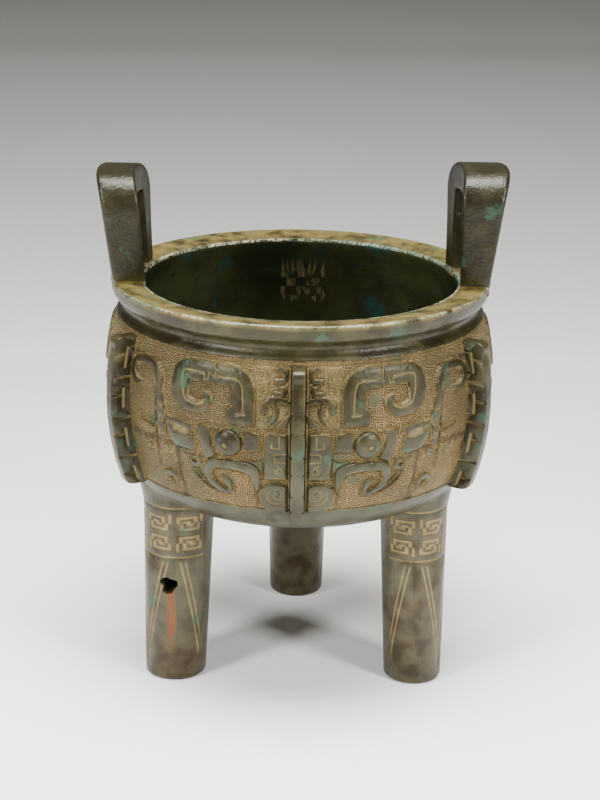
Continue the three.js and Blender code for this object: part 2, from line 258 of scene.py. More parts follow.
def forehead(f):
    f.plate([(3.2, 39.3), (19, 39.3), (19, 70), (3.2, 70)], 0.35, smooth=0.45)
    plaques = ((16.7, 63.6, 3.4, 3.5, 0, 1), (16.0, 56.9, 3.3, 3.2, 1, -1), (15.2, 42.9, 3.4, 2.4, 2, 1))
    for x, y, half_x, half_y, turn, mirror in plaques:
        box = (np.abs(f.X - x) < half_x) & (np.abs(f.Y - y) < half_y)
        deep = spiral(f.X[box] - x, f.Y[box] - y, half_x, half_y, turn, mirror, 1.3)
        f.height[box] = 0.45 - 0.6 * deep
        f.recess[box] = deep
        f.raised[box] = 0.5
    f.line([(12.4, 67.6), (12.2, 60), (11.2, 53.4), (18.6, 53.0), (19.6, 60)])
    f.band([(10.2, 60.8, 1.2), (6.6, 61.0, 1.3), (5.9, 64.0, 1.3), (8.2, 66.2, 1.2), (10.4, 65.2, 0.7)], 0.9)
    f.band([(10.4, 55.6, 0.9), (7.2, 54.9, 1.3), (6.2, 57.4, 1.2), (8.6, 58.6, 0.6)], 0.9)
    f.band([(4.2, 51.6, 1.2), (8.2, 52.6, 1.7), (13.2, 52.2, 1.7), (15.2, 49.2, 1.4), (15.0, 46.4, 1.0)], 0.9)
    f.band([(10.8, 50.2, 0.8), (9.6, 47.2, 1.1), (10.8, 43.6, 1.1), (12.6, 41.6, 0.8)], 0.8)
    f.band([(4.4, 44.4, 1.6), (6.2, 41.6, 1.6), (8.8, 40.4, 0.9)], 0.9)
    f.curl([(11.6, 46.4), (12.8, 47.6), (12.6, 45.2), (11.2, 45.0)])
    f.curl([(6.6, 46.4), (7.8, 47.8), (7.6, 45.6), (6.4, 45.4)])


def horn(f):
    f.band([
        (25.2, 44.6, 5.0), (24.6, 50, 5.2), (24.8, 57.2, 5.2), (28.5, 61.0, 5.1), (38, 61.8, 4.8),
        (49, 61.8, 4.7), (55.2, 60.8, 4.7), (56.6, 54, 4.7), (54.5, 47.8, 3.9), (47.5, 45.4, 3.1),
        (42.6, 47.0, 2.5), (41.5, 50.8, 1.9), (44.6, 54.8, 0.4),
    ], 1.6, bevel=0.8, crown=0.05)
    f.plate([
        (19.5, 41.4), (20.8, 39.9), (31.4, 40.0), (32.6, 42.0), (32.4, 46.2), (30.6, 48.2), (19.5, 50),
    ], 1.6, bevel=0.8)
    f.line([(23.5, 45.2), (27.6, 45.4)])
    f.curl([(24.4, 45.4), (24.6, 52), (25.4, 57.8), (28.6, 60.6), (36.6, 61.0)], 0.4)
    f.line([(41.4, 61.9), (41.5, 58.8), (43.6, 58.8), (43.8, 61.0)], 0.36)
    f.curl([
        (43.8, 61.6), (50, 61.6), (54.6, 60.6), (54.6, 54), (52.6, 49), (47, 47.2), (43.4, 48.6),
        (43.0, 51.8), (44.8, 53.8),
    ])
    f.line([(38.3, 60.4), (38.9, 65.8)], 0.3)


def face(f):
    f.plate([
        (15.2, 23.8), (25, 24), (31, 21.6), (42.6, 22.6), (43.4, 20.6), (30, 19), (20.2, 19.4), (15.4, 15),
    ], 1.0)
    f.plate([(16.8, 37.2), (24.4, 37.4), (24.6, 27.8), (16.6, 28.0)], 1.1)
    f.plate([
        (39.8, 37.6), (46.4, 37.6), (45.8, 31), (43.6, 21.8), (41.4, 21.6), (36.8, 24.2), (39.6, 30),
    ], 1.2)
    f.plate([(35.6, 37.5), (39.0, 37.6), (37.8, 35.0)], 1.0)


def ear(f):
    f.plate([
        (48.4, 35.8), (50.4, 38.0), (57, 38.4), (64.2, 38.6), (63.0, 31.6), (60.8, 26.8), (58.8, 24.4),
        (50.2, 24.2), (47.2, 25.8), (47.6, 28.4), (49.0, 31.0), (50, 33),
    ], 1.3, bevel=0.9)
    w, outside = f.outside_stroke([(52.6, 33.0, 2.0), (58.4, 34.0, 2.2)])
    f.height[w] -= 0.75 * ease(-outside / 0.9)
    f.recess[w] = np.maximum(f.recess[w], 0.8 * ease(-outside / 1.2))
    f.curl([(51.4, 32.0), (54, 34.6), (57.4, 33.6), (61, 35.2)])


def eye(f, x=31.5, y=31.0, radius=6.3, height=3.1):
    w = f.window([(x, y)], radius + 2)
    r = np.hypot(f.X[w] - x, f.Y[w] - y)
    pupil = np.hypot(f.X[w] - x - 0.9, f.Y[w] - y + 1.1)
    f.lift((w, r - radius - 0.6), 0.15, moat=0.6)
    dome = 0.2 + height * np.clip(1 - (r / radius) ** 2, 0, 1) ** 0.4
    dome += 0.18 * ease((2.4 - pupil) / 0.5) - 0.75 * ease((1.5 - pupil) / 0.6)
    inside = r < radius
    f.height[w] = np.where(inside, dome, f.height[w])
    f.raised[w] = np.where(inside, 1, f.raised[w])
    f.recess[w] = np.where(inside, 0.8 * ease((1.4 - pupil) / 0.5), f.recess[w])


def jaw(f):
    f.band([
        (18.6, 8.7, 0.8), (18.7, 13.5, 2.0), (20.2, 18.4, 2.8), (26, 20.1, 2.7), (34, 20.5, 2.6),
        (40.4, 19.2, 2.5), (42.0, 14.8, 2.1), (40.2, 10.4, 1.9), (36.2, 7.4, 1.8), (32.4, 6.5, 1.6),
        (31.2, 8.6, 1.5), (33, 12.0, 1.2), (35.6, 14.4, 0.4),
    ], 1.6, crown=0.08, over=True)
    f.curl([(21.0, 8.6), (21.6, 14.6), (24, 18.0), (30, 19.2)], 0.3, 0.25)
    f.band([
        (49.4, 21.4, 0.7), (47.0, 21.6, 1.3), (46.4, 19.0, 1.4), (48.6, 17.4, 1.4), (50.8, 19.2, 1.2),
    ], 1.1)
    f.band([(50.6, 18.4, 0.7), (49.6, 13.6, 0.8), (46.2, 9.6, 0.8), (40.0, 6.6, 0.7), (33, 5.2, 0.4)], 0.9)
    f.band([(48.0, 15.6, 0.5), (46.0, 12.4, 0.6), (43.0, 10.0, 0.6)], 0.8)


def nose(f):
    f.plate([(4.4, 37.2), (12.6, 38.0), (14.8, 36.6), (15.4, 23), (14.6, 14.4), (4.4, 14.6)], 1.2, bevel=0.8)
    f.line([(8.3, 36), (8.4, 30.3), (11.6, 30.3), (11.6, 32.0)])
    f.line([(5.4, 27.9), (10.6, 27.5), (10.6, 23.6), (5.6, 23.6)])
    f.curl([(8.6, 20.4), (10.2, 19.4), (9.4, 17.6), (7.4, 18.0), (7.4, 20.2), (9.6, 21.4)])
    f.line([(5.6, 15.8), (11.6, 15.6)], 0.36)
    f.plate([
        (4.2, 12.0), (7, 13.0), (12, 13.2), (16.6, 10.8), (18.2, 6.6), (17.2, 0.8), (14.4, -2.2),
        (4.2, -3.2),
    ], 1.4, bevel=1.2)
    f.curl([(4.4, 4.4), (9.6, 4.2), (12.0, 6.4), (10.6, 9.2), (8.0, 8.6), (7.8, 6.8), (9.4, 6.6)])
    f.curl([(4.4, 1.8), (11, 2.0), (14, 4.6), (14.2, 8)])


def body_and_tail(f):
    f.band([(68.3, 47.0, 2.0), (68.0, 42.6, 2.9), (67.4, 36, 2.5), (67.0, 29, 2.1), (66.8, 25.6, 1.4)], 1.1)
    for x, y in ((67.2, 43.2), (66.2, 36.0), (66.2, 29.6)):
        hook = ((0, 0), (1.6, 1.2), (2.1, -0.8), (0.5, -1.6), (-0.5, -0.6))
        f.curl([(x + across, y + up) for across, up in hook], 0.36)
    f.band([(71.0, 44, 0.55), (71.2, 34, 0.6), (71.0, 24, 0.7), (71.4, 12.4, 0.6)], 0.8)
    f.band([
        (68.4, 45.0, 2.2), (69.4, 50.4, 2.5), (70.4, 55.4, 2.7), (73.2, 59.4, 2.4), (80, 60.4, 2.2),
        (86.2, 59.0, 2.3), (88.6, 54.8, 2.2), (86.8, 50.8, 2.1), (82.8, 49.2, 1.7), (79.6, 50.6, 0.6),
    ], 1.5, crown=0.05)
    f.curl([(70.8, 46), (71.6, 53), (74.2, 57.2), (80, 58.4), (86, 57.8)], 0.36)
    f.ring(64.8, 21.8, 2.7, 1.1)
    f.ring(76.9, 20.9, 2.6, 1.1)
    f.band([(61.2, 3.6, 0.8), (61.0, 7.4, 1.3), (64.0, 9.8, 1.6), (68.0, 8.2, 1.5), (69.2, 4.6, 0.7)], 1.2)
    f.band([(64.0, 4.0, 0.6), (65.4, 6.0, 1.0), (66.6, 4.0, 0.5)], 0.8)
    f.band([(72.6, 33.0, 0.7), (78, 33.8, 0.6), (83.6, 34.8, 0.6)], 0.8)
    f.band([(73.6, 30.8, 0.5), (79, 31.2, 0.5), (83, 32.4, 0.5)], 0.6)


def borders(f):
    f.plate([(3.0, -3.2), (4.2, -3.2), (4.2, 70), (3.0, 70)], 0.7, smooth=0.6)
    f.plate([(-1, 67.4), (97, 67.4), (97, 68.3), (-1, 68.3)], 0.25, smooth=0.3)
    f.plate([(-1, -4), (97, -4), (97, -1.2), (-1, -1.2)], 0.2)


def half_mask():
    f = Field(PANEL["left"], PANEL["right"], PANEL["bottom"], PANEL["top"], 0.24)
    for draw in (mask_ground, forehead, horn, face, ear, eye, jaw, nose, body_and_tail, borders):
        draw(f)
    return f


# ---- From fields and profiles to meshes ---------------------------------------------------------


def grid_faces(rows, columns):
    """Quads over a grid of points, the first row lowest, seen from outside as x runs right."""
    i = np.arange(columns - 1) + np.arange(rows - 1)[:, None] * columns
    return np.stack([i, i + 1, i + 1 + columns, i + columns], -1).reshape(-1, 4)


def mesh_object(name, points, faces):
    """An object from points in millimetres and faces of any one size, or a list of such arrays."""
    mesh = bpy.data.meshes.new(name)
    groups = faces if isinstance(faces, list) else [faces]
    loops = np.concatenate([g.ravel() for g in groups]).astype(np.int32)
    sizes = np.concatenate([np.full(len(g), g.shape[1]) for g in groups])
    mesh.vertices.add(len(points))
    mesh.vertices.foreach_set("co", (np.asarray(points) * MM).astype(np.float32).ravel())
    mesh.loops.add(len(loops))
    mesh.loops.foreach_set("vertex_index", loops)
    mesh.polygons.add(len(sizes))
    mesh.polygons.foreach_set("loop_start", (np.cumsum(sizes) - sizes).astype(np.int32))
    mesh.update(calc_edges=True)
    mesh.validate()
    obj = bpy.data.objects.new(name, mesh)
    bpy.context.collection.objects.link(obj)
    return obj


def points_of(obj):
    co = np.empty(len(obj.data.vertices) * 3, np.float32)
    obj.data.vertices.foreach_get("co", co)
    return co.reshape(-1, 3).astype(float) / MM


def triangles_of(mesh):
    mesh.calc_loop_triangles()
    tri = np.empty(len(mesh.loop_triangles) * 3, np.int32)
    mesh.loop_triangles.foreach_get("vertices", tri)
    return tri.reshape(-1, 3)


def modified(obj, kind, **settings):
    """Applies one modifier and keeps its result as the object's mesh."""
    modifier = obj.modifiers.new(kind, kind)
    for key, value in settings.items():
        setattr(modifier, key, value)
    made = bpy.data.meshes.new_from_object(obj.evaluated_get(bpy.context.evaluated_depsgraph_get()))
    obj.modifiers.clear()
    obj.data = made
    return obj


def data_of(obj):
    """The points and triangles of an object, which is then removed."""
    result = points_of(obj), triangles_of(obj.data)
    bpy.data.objects.remove(obj)
    return result


def thinned(points, quads, wanted):
    """The points and triangles left when a fine grid is reduced to about as many triangles."""
    obj = mesh_object("fine", points, quads)
    return data_of(modified(obj, "DECIMATE", ratio=wanted / (2 * len(quads))))


def face_out(obj):
    """Turns every face outwards, and says so if the mesh isn't closed."""
    bm = bmesh.new()
    bm.from_mesh(obj.data)
    bmesh.ops.recalc_face_normals(bm, faces=bm.faces)
    open_edges = sum(not e.is_manifold for e in bm.edges)
    if open_edges:
        print(obj.name, "has", open_edges, "open edges")
    bm.to_mesh(obj.data)
    bm.free()
    return obj


def tube(rings, wanted=None):
    """Points and triangles of a closed solid through rings of points, with flat ends."""
    rows, columns = rings.shape[:2]
    i = np.arange(columns)
    step = (i + 1) % columns
    base = np.arange(rows - 1)[:, None] * columns
    quads = np.stack([base + i, base + step, base + columns + step, base + columns + i], -1).reshape(-1, 4)
    ends = [i[None, ::-1], i[None] + (rows - 1) * columns]
    obj = face_out(mesh_object("tube", rings.reshape(-1, 3), [quads, *ends]))
    modified(obj, "TRIANGULATE")
    if wanted:
        modified(obj, "DECIMATE", ratio=wanted / len(obj.data.polygons))
    return data_of(face_out(obj))


KEYS = ("recess", "ground", "u", "v", "inside")


def solid(name, points, faces, **values):
    """A closed mesh that carries the material's values, 0 where they aren't given."""
    obj = mesh_object(name, points, faces)
    for key in (*KEYS, "known"):
        data = values.get(key, np.full(len(points), float(key == "known")))
        attribute = obj.data.attributes.new(key, "FLOAT", "POINT")
        attribute.data.foreach_set("value", np.asarray(data, np.float32))
    return obj


def combine(obj, other, operation):
    """Joins another solid to one, or cuts it out."""
    bpy.context.view_layer.update()
    modified(obj, "BOOLEAN", operation=operation, solver="MANIFOLD", object=other)
    bpy.data.objects.remove(other)
    return obj


def turned(points, azimuth):
    a = math.radians(azimuth)
    c, s = math.cos(a), math.sin(a)
    return points @ np.array([[c, -s, 0], [s, c, 0], [0, 0, 1]]).T


# ---- The decorated wall -------------------------------------------------------------------------


def wrap(x, y, height):
    """Points of a half mask's field on the wall, its nose at azimuth 0."""
    a, z = x / PANEL_RADIUS, y + BAND["bottom"]
    r = wall_radius(z) + height
    return np.column_stack([r * np.sin(a), -r * np.cos(a), z])


def border_points(faces, count):
    """Which points lie on the border of a sheet of triangles."""
    edges = np.sort(np.vstack([faces[:, [0, 1]], faces[:, [1, 2]], faces[:, [2, 0]]]), 1)
    pairs, uses = np.unique(edges, axis=0, return_counts=True)
    border = np.zeros(count, bool)
    border[pairs[uses == 1]] = True
    return border


def half_mask_tile(wanted):
    """Azimuths, radii, heights, triangles and values of one half mask, its borders straight."""
    f = half_mask()
    wrapped = wrap(f.X.ravel(), f.Y.ravel(), f.height.ravel())
    points, faces = thinned(wrapped, grid_faces(*f.X.shape), wanted)
    azimuth = np.degrees(np.arctan2(points[:, 0], -points[:, 1]))
    radius, height = np.hypot(points[:, 0], points[:, 1]), points[:, 2]
    border = border_points(faces, len(points))
    for value in (0, SECTOR):
        azimuth = np.where(border & (np.abs(azimuth - value) < STRAY), value, azimuth)
        faces = faces[~(azimuth[faces] == value).all(1)]
    for value in (BAND["bottom"] + PANEL["bottom"], BAND["bottom"] + PANEL["top"]):
        height = np.where(border & (np.abs(height - value) < STRAY), value, height)
    values = f.sample(np.radians(azimuth) * PANEL_RADIUS, height - BAND["bottom"])[1:]
    return azimuth, radius, height, faces, dict(zip(KEYS, values))


def wall_drum(wanted):
    """A solid drum with the six half masks on its side."""
    azimuth, radius, height, faces, values = half_mask_tile(wanted)
    tiles, triangles = [], []
    for nose_at in (0, 120, 240):
        for side in (1, -1):
            a = np.radians(nose_at + side * azimuth)
            triangles.append(faces[:, ::side] + len(tiles) * len(radius))
            tiles.append(np.column_stack([radius * np.sin(a), -radius * np.cos(a), height]))
    values = {key: np.tile(value, 6) for key, value in values.items()}
    obj = solid("wall", np.vstack(tiles), np.vstack(triangles), **values)
    bm = bmesh.new()
    bm.from_mesh(obj.data)
    bmesh.ops.remove_doubles(bm, verts=bm.verts, dist=0.01 * MM)
    for z in (BAND["bottom"] + PANEL["bottom"], BAND["bottom"] + PANEL["top"]):
        rim = [e for e in bm.edges if e.is_boundary and abs(e.verts[0].co.z - z * MM) < 1e-5]
        middle = bm.verts.new((0, 0, z * MM))
        for e in rim:
            bm.faces.new((e.verts[1], e.verts[0], middle))
    bm.to_mesh(obj.data)
    bm.free()
    return face_out(obj)


# ---- The plain bowl -----------------------------------------------------------------------------


def bezier(a, b, c, steps):
    t = np.linspace(0, 1, steps)[:, None]
    a, b, c = (np.array(p, float) for p in (a, b, c))
    return (1 - t) ** 2 * a + 2 * t * (1 - t) * b + t**2 * c


def lathe(name, profile, columns=200, **values):
    """A closed solid of revolution from a profile of (radius, height) with both ends on the axis."""
    profile = np.asarray(profile, float)
    rings, ends = profile[1:-1], profile[[0, -1], 1]
    a = np.arange(columns) * 2 * math.pi / columns
    points = np.stack([
        rings[:, :1] * np.sin(a), -rings[:, :1] * np.cos(a), np.repeat(rings[:, 1:], columns, 1),
    ], -1).reshape(-1, 3)
    i = np.arange(columns)
    step = (i + 1) % columns
    rows = np.arange(len(rings) - 1)[:, None] * columns
    quads = np.stack([rows + i, rows + columns + i, rows + columns + step, rows + step], -1).reshape(-1, 4)
    first, last = len(points), (len(rings) - 1) * columns
    caps = np.vstack([
        np.column_stack([np.full(columns, first), i, step]),
        np.column_stack([np.full(columns, first + 1), last + step, last + i]),
    ])
    points = np.vstack([points, [[0, 0, ends[0]], [0, 0, ends[1]]]])
    spread = {key: np.full(len(points), value) for key, value in values.items()}
    return solid(name, points, [quads, caps], **spread)


def bowl_profile():
    """From the middle of the lip's level down the outside to the middle of the underside."""
    r, top, foot = LIP["radius"], LIP["top"], LIP["top"] - LIP["face"]
    lip = [(0, top - LIP["dip"]), (LIP["inner"], top - LIP["dip"]), (80, top - 1.15), (86, top - 0.4)]
    edge = bezier((r - 1.4, top - 0.05), (r + 0.05, top), (r, top - 1.5), 6)
    face = bezier((r - 0.5, top - 4), (r - 1.0, foot + 0.2), (r - 2.4, foot - 0.4), 6)
    neck = bezier((r - 3.6, top - 9), (NECK["radius"] - 1.9, NECK["height"]), (87.2, 176.9), 8)
    under_band = [(87.5, 176.2), (86.4, 175.4)]
    wall = [(wall_radius(z) - 1.1, z) for z in np.linspace(172, 107, 8)]
    shoulder, bottom = UNDERSIDE["shoulder"], UNDERSIDE["bottom"]
    start = wall_radius(shoulder)
    under = bezier((start, shoulder), (UNDERSIDE["reach"], bottom), (0, bottom), 26)
    return [*lip, *edge, *face, *neck, *under_band, *wall, (start - 0.2, shoulder + 0.7), *under]


def hollow_profile():
    """From above the middle of the mouth down the inside to the middle of its bottom."""
    inner, top = LIP["inner"], LIP["top"]
    above = [(0, top + 3), (inner + 1.2, top + 3)]
    mouth = [*above, (inner + 1.2, top), (inner + 0.2, top - LIP["dip"] - 0.3)]
    under_neck = (NECK["radius"] - 6, NECK["height"])
    throat = bezier((inner, top - 3), (inner + 0.1, top - LIP["throat"]), under_neck, 7)
    wall = [(wall_radius(z) - WALL, z) for z in np.linspace(168, 106, 14)]
    start = (wall_radius(UNDERSIDE["shoulder"]) - WALL, UNDERSIDE["shoulder"])
    bottom = UNDERSIDE["bottom"] + WALL
    return [*mouth, *throat, *wall, *bezier(start, (UNDERSIDE["reach"] - WALL, bottom), (0, bottom), 20)]


# ---- Flanges ------------------------------------------------------------------------------------


def flange_field():
    """One face of a flange: x inwards from the crest, y up from its foot."""
    f = Field(0, FLANGE["depth"] + FLANGE["root"], 0, FLANGE["top"] - FLANGE["bottom"], 0.3)
    marks, bars = FLANGE_MARKS, FLANGE_BARS
    for k in range(marks["count"]):
        y = FLANGE["top"] - FLANGE["bottom"] - marks["first"] - k * marks["pitch"]
        f.line([(-1, y), (marks["reach"], y)], marks["width"], 0.7)
        bar = [(bars["depth_in"], y + bars["above"]), (bars["depth_in"], y - bars["below"])]
        f.line(bar, bars["width"], 0.75)
        if k < marks["count"] - 1:
            y -= marks["between"]
            f.line([(-1, y), (marks["full_reach"], y)], marks["width"], 0.7)
    return f


def flange_crest(z):
    """How far the crest stands from the axis at each height."""
    top, bottom, beak = FLANGE["top"], FLANGE["bottom"], FLANGE["beak"]
    heights = [bottom, bottom + 0.5, bottom + 2.2, top - 5.5, top - 1.8, top - 0.9, top]
    extra = [-2.4, -0.6, 0, 0, beak, beak - 0.3, -beak]
    return wall_radius(z) + FLANGE["depth"] + np.interp(z, heights, extra)


def flange_section(f, corner=0.8):
    """Half a section, from the root to the middle of the crest: depths in from it, and offsets."""
    half = FLANGE["thickness"] / 2
    side = f.x[::-1][f.x[::-1] > corner]
    turn = np.linspace(0, math.pi / 2, 5)
    flat = np.linspace(half - corner, 0, 7)[1:]
    depth_in = np.concatenate([side, corner * (1 - np.sin(turn)), np.zeros(len(flat))])
    offset = np.concatenate([np.full(len(side), half), half - corner * (1 - np.cos(turn)), flat])
    return depth_in, offset


def flange(wanted):
    """Points, triangles and recess of the flange at azimuth 0."""
    f = flange_field()
    depth_in, offset = flange_section(f)
    z = (f.y + FLANGE["bottom"])[:, None]
    cut = f.sample(np.tile(depth_in, (len(z), 1)), np.tile(f.y[:, None], (1, len(depth_in))))[0]
    beside = depth_in > 0
    r = flange_crest(z) - depth_in
    half = np.stack([offset + cut * beside, -r, z + 0 * r], -1)
    rings = np.concatenate([half, half[:, -2::-1] * [-1, 1, 1]], 1)
    points, faces = tube(rings, wanted)
    depth_in = flange_crest(points[:, 2]) + points[:, 1]
    recess = f.sample(depth_in, points[:, 2] - FLANGE["bottom"])[1]
    return points, faces, recess * (depth_in > CLEAN_CREST)


# ---- Legs ---------------------------------------------------------------------------------------


def leg_field():
    """The skin of a leg: x round it from the outward face, y up from the ground."""
    reach = math.pi * LEG["foot_radius"]
    f = Field(-reach, reach, 0, LEG["top"], 0.33)
    width, depth, half = (LEG_LINES[key] for key in ("width", "depth", "half"))
    for centre in (-BLADES["spacing"], 0, BLADES["spacing"]):
        for k, tip in enumerate(BLADES["tips"]):
            wide = BLADES["half"] - k * BLADES["inset"]
            f.line([(centre - wide, BLADES["top"]), (centre, tip)], width, depth)
            f.line([(centre + wide, BLADES["top"]), (centre, tip)], width, depth)
    for y in LEG_LINES["heights"]:
        f.line([(-half, y), (half, y)], width, depth)
    half_x, half_y = VOLUTES["half"]
    for x in VOLUTES["across"]:
        for y, turn in zip(VOLUTES["up"], (0, 2)):
            box = (np.abs(f.X - x) < half_x) & (np.abs(f.Y - y) < half_y)
            mirror = 1 if x > 0 else -1
            deep = spiral(f.X[box] - x, f.Y[box] - y, half_x, half_y, turn, mirror, VOLUTES["pitch"])
            f.height[box] -= 0.35 * deep
            f.recess[box] = deep
    fade = ease((half + 0.5 - np.abs(f.X)) / 1.5)
    f.height *= fade
    f.recess *= fade
    return f


def leg_centre(height):
    return LEG["foot_circle"] + (LEG["top_circle"] - LEG["foot_circle"]) * height / LEG["top"]


def leg_solid(f, leg, wanted):
    """Points, triangles and recess of one leg."""
    z = f.y[:, None]
    edge, spread_height = LEG_ENDS["edge"], LEG_ENDS["spread_height"]
    foot = edge - np.sqrt(np.clip(edge**2 - (edge - np.minimum(z, edge)) ** 2, 0, None))
    spread = LEG_ENDS["spread"] * ease((z - LEG["top"] + spread_height) / spread_height)
    plain = LEG["foot_radius"] + leg["stouter"] + LEG["taper"] * z / LEG["top"] - foot + spread
    radius = plain + f.height
    a = f.X / LEG["foot_radius"]
    rings = np.stack([radius * np.sin(a), -(leg_centre(z) + radius * np.cos(a)), z + 0 * a], -1)
    points, faces = tube(rings[:, :-1], wanted)
    a = np.arctan2(points[:, 0], -points[:, 1] - leg_centre(points[:, 2]))
    recess = f.sample(a * LEG["foot_radius"], points[:, 2])[1]
    return turned(points, leg["azimuth"]), faces, recess


# ---- Handles ------------------------------------------------------------------------------------


def handle_path(top, steps=9):
    """The middle line of the loop in its plane, (y, z), up one limb, round the arch and down."""
    half = HANDLE["half"] - HANDLE["limb"] / 2
    bottom = LIP["top"] - HANDLE["sunk"]
    crown = top - HANDLE["crown"] / 2
    spring, arch_end = crown - HANDLE["rise"], half - HANDLE["shoulder"]
    arch = bezier((-half, spring), (-half, crown - 0.6), (-arch_end, crown - 0.3), steps)
    flat = bezier((-arch_end, crown - 0.3), (0, crown + 0.6), (arch_end, crown - 0.3), 7)[1:]
    limb = np.array([(-half, z) for z in np.linspace(bottom, spring, 10)[:-1]])
    left = np.vstack([limb, arch])
    return np.vstack([left, flat, (left * [-1, 1])[::-1][1:]])


def rounded_section(bevel, steps=4, between=5):
    """A square section from -1 to 1 with rounded corners: where its points lie out and across."""
    turn = np.linspace(0, math.pi / 2, steps)
    corner = np.column_stack([1 - bevel * (1 - np.cos(turn)), 1 - bevel * (1 - np.sin(turn))])
    side = np.column_stack([np.linspace(1 - bevel, bevel - 1, between + 1)[1:-1], np.ones(between - 1)])
    turns = [np.vstack([corner, side])]
    for _ in range(3):
        turns.append(turns[-1] @ np.array([[0, 1], [-1, 0]]))
    return np.vstack(turns)


def handle(side, top, inner, outer, lean_in, lean_out, twist, twist_up):
    """One loop, swept along its path with a nearly square section, curved in plan like the rim."""
    path = handle_path(top)
    tangent = np.gradient(path, axis=0)
    tangent /= np.linalg.norm(tangent, axis=1, keepdims=True)
    rise = np.clip((path[:, 1:] - (top - 30)) / 20, 0, 1)
    half_width = HANDLE["limb"] / 2 + (HANDLE["crown"] - HANDLE["limb"]) / 2 * rise
    out, up = rounded_section(0.2).T
    y = path[:, :1] - tangent[:, 1:] * half_width * up
    z = path[:, 1:] + tangent[:, :1] * half_width * up
    height = np.clip(z - LIP["top"], 0, None)
    rim_curve = HANDLE["outer"] - np.sqrt(HANDLE["outer"] ** 2 - y**2)
    curved = rim_curve + (twist + twist_up * height) * y
    x_in, x_out = inner + lean_in * height, outer + lean_out * height
    x = (x_in + x_out) / 2 + (x_out - x_in) / 2 * out - curved
    points, faces = tube(np.stack([side * x, y, z], -1))
    return solid("handle", points, faces)


# ---- The casting --------------------------------------------------------------------------------


def joined(name, parts):
    """One closed mesh from parts that don't touch, each (points, triangles, recess)."""
    points, faces, recess = zip(*parts)
    starts = np.cumsum([0] + [len(p) for p in points])
    faces = np.vstack([f + start for f, start in zip(faces, starts)])
    return solid(name, np.vstack(points), faces, recess=np.concatenate(recess))


def read(mesh, key):
    values = np.empty(len(mesh.vertices), np.float32)
    mesh.attributes[key].data.foreach_get("value", values)
    return values


def fill_unknown(mesh):
    """Gives the points that a cut made the mean of their neighbours' values."""
    known = read(mesh, "known") > 0.5
    edges = np.empty(len(mesh.edges) * 2, np.int32)
    mesh.edges.foreach_get("vertices", edges)
    edges = edges.reshape(-1, 2)
    for key in KEYS:
        values = read(mesh, key)
        total, count = np.zeros(len(known)), np.zeros(len(known))
        for a, b in ((0, 1), (1, 0)):
            weight = known[edges[:, b]].astype(float)
            np.add.at(total, edges[:, a], values[edges[:, b]] * weight)
            np.add.at(count, edges[:, a], weight)
        mesh.attributes[key].data.foreach_set(
            "value", np.where(known, values, total / np.maximum(count, 1)).astype(np.float32)
        )


def flaw():
    """The casting hole in the left leg: an uneven, tapering tunnel with a blind end."""
    leg = LEGS[0]
    a = np.linspace(0, 2 * math.pi, FLAW["sides"], endpoint=False)
    uneven = 1 + 0.16 * np.sin(3 * a + 0.5) + 0.1 * np.sin(5 * a)
    outline = uneven[:, None] * np.column_stack([np.cos(a), np.zeros(len(a)), np.sin(a)])
    centre = turned(np.array([[0, -leg_centre(FLAW["height"]), FLAW["height"]]]), leg["azimuth"])[0]
    rings = [
        turned(radius * outline - [0, along, 0], FLAW["azimuth"]) + centre for along, radius in FLAW_TAPER
    ]
    points, faces = tube(np.stack(rings))
    return solid("flaw", points, faces, inside=np.ones(len(points)))


def stroke(x, z, tilt, profile):
    """A short groove of triangular section in the inside's wall at the back."""
    along = np.array([math.cos(tilt), math.sin(tilt)])
    across = np.array([-along[1], along[0]])
    rings = []
    for end in (-STROKES["half"], STROKES["half"]):
        ring = []
        for side, depth in ((-STROKES["width"], -1.5), (STROKES["width"], -1.5), (0, STROKES["depth"])):
            px, pz = np.array([x, z]) + along * end + across * side
            wall = np.interp(pz, profile[:, 1], profile[:, 0])
            ring.append((px, math.sqrt(wall**2 - px**2) + depth, pz))
        rings.append(ring)
    points, faces = tube(np.array(rings))
    return points, faces, np.ones(len(points))


def inscription():
    """Rows of shallow strokes on the back of the inside, which aren't letters."""
    profile = np.array(hollow_profile()[4:])[::-1]
    per_row = STROKES["per_row"]
    strokes = []
    for row, z in enumerate(STROKES["rows"]):
        for k in range(per_row):
            x = (k - (per_row - 1) / 2) * STROKES["pitch"] + row % 2 * STROKES["shift"]
            strokes.append(stroke(x, z, STROKE_TILTS[(k + row) % len(STROKE_TILTS)], profile))
    return joined("inscription", strokes)


def casting():
    """The whole vessel as one closed mesh."""
    wanted = {key: int(count * (1)) for key, count in TRIANGLES.items()}
    ding = lathe("ding", bowl_profile())
    combine(ding, wall_drum(wanted["half_mask"]), "UNION")
    skin = leg_field()
    fittings = [leg_solid(skin, leg, wanted["leg"]) for leg in LEGS]
    points, *rest = flange(wanted["flange"])
    fittings += [(turned(points, azimuth), *rest) for azimuth in range(0, 360, SECTOR)]
    combine(ding, joined("fittings", fittings), "UNION")
    combine(ding, lathe("hollow", hollow_profile(), inside=1.0), "DIFFERENCE")
    combine(ding, handle(-1, TOP - LOWER_LEFT, **LEFT_HANDLE), "UNION")
    combine(ding, handle(1, TOP, **RIGHT_HANDLE), "UNION")
    combine(ding, flaw(), "DIFFERENCE")
    combine(ding, inscription(), "DIFFERENCE")
    fill_unknown(ding.data)
    return ding


# ---- Camera -------------------------------------------------------------------------------------

CAMERA = dict(place=(0.0006, -0.8814, 0.4258), down=18.62, roll=0.95, lens=86.06)  # m, degrees, mm


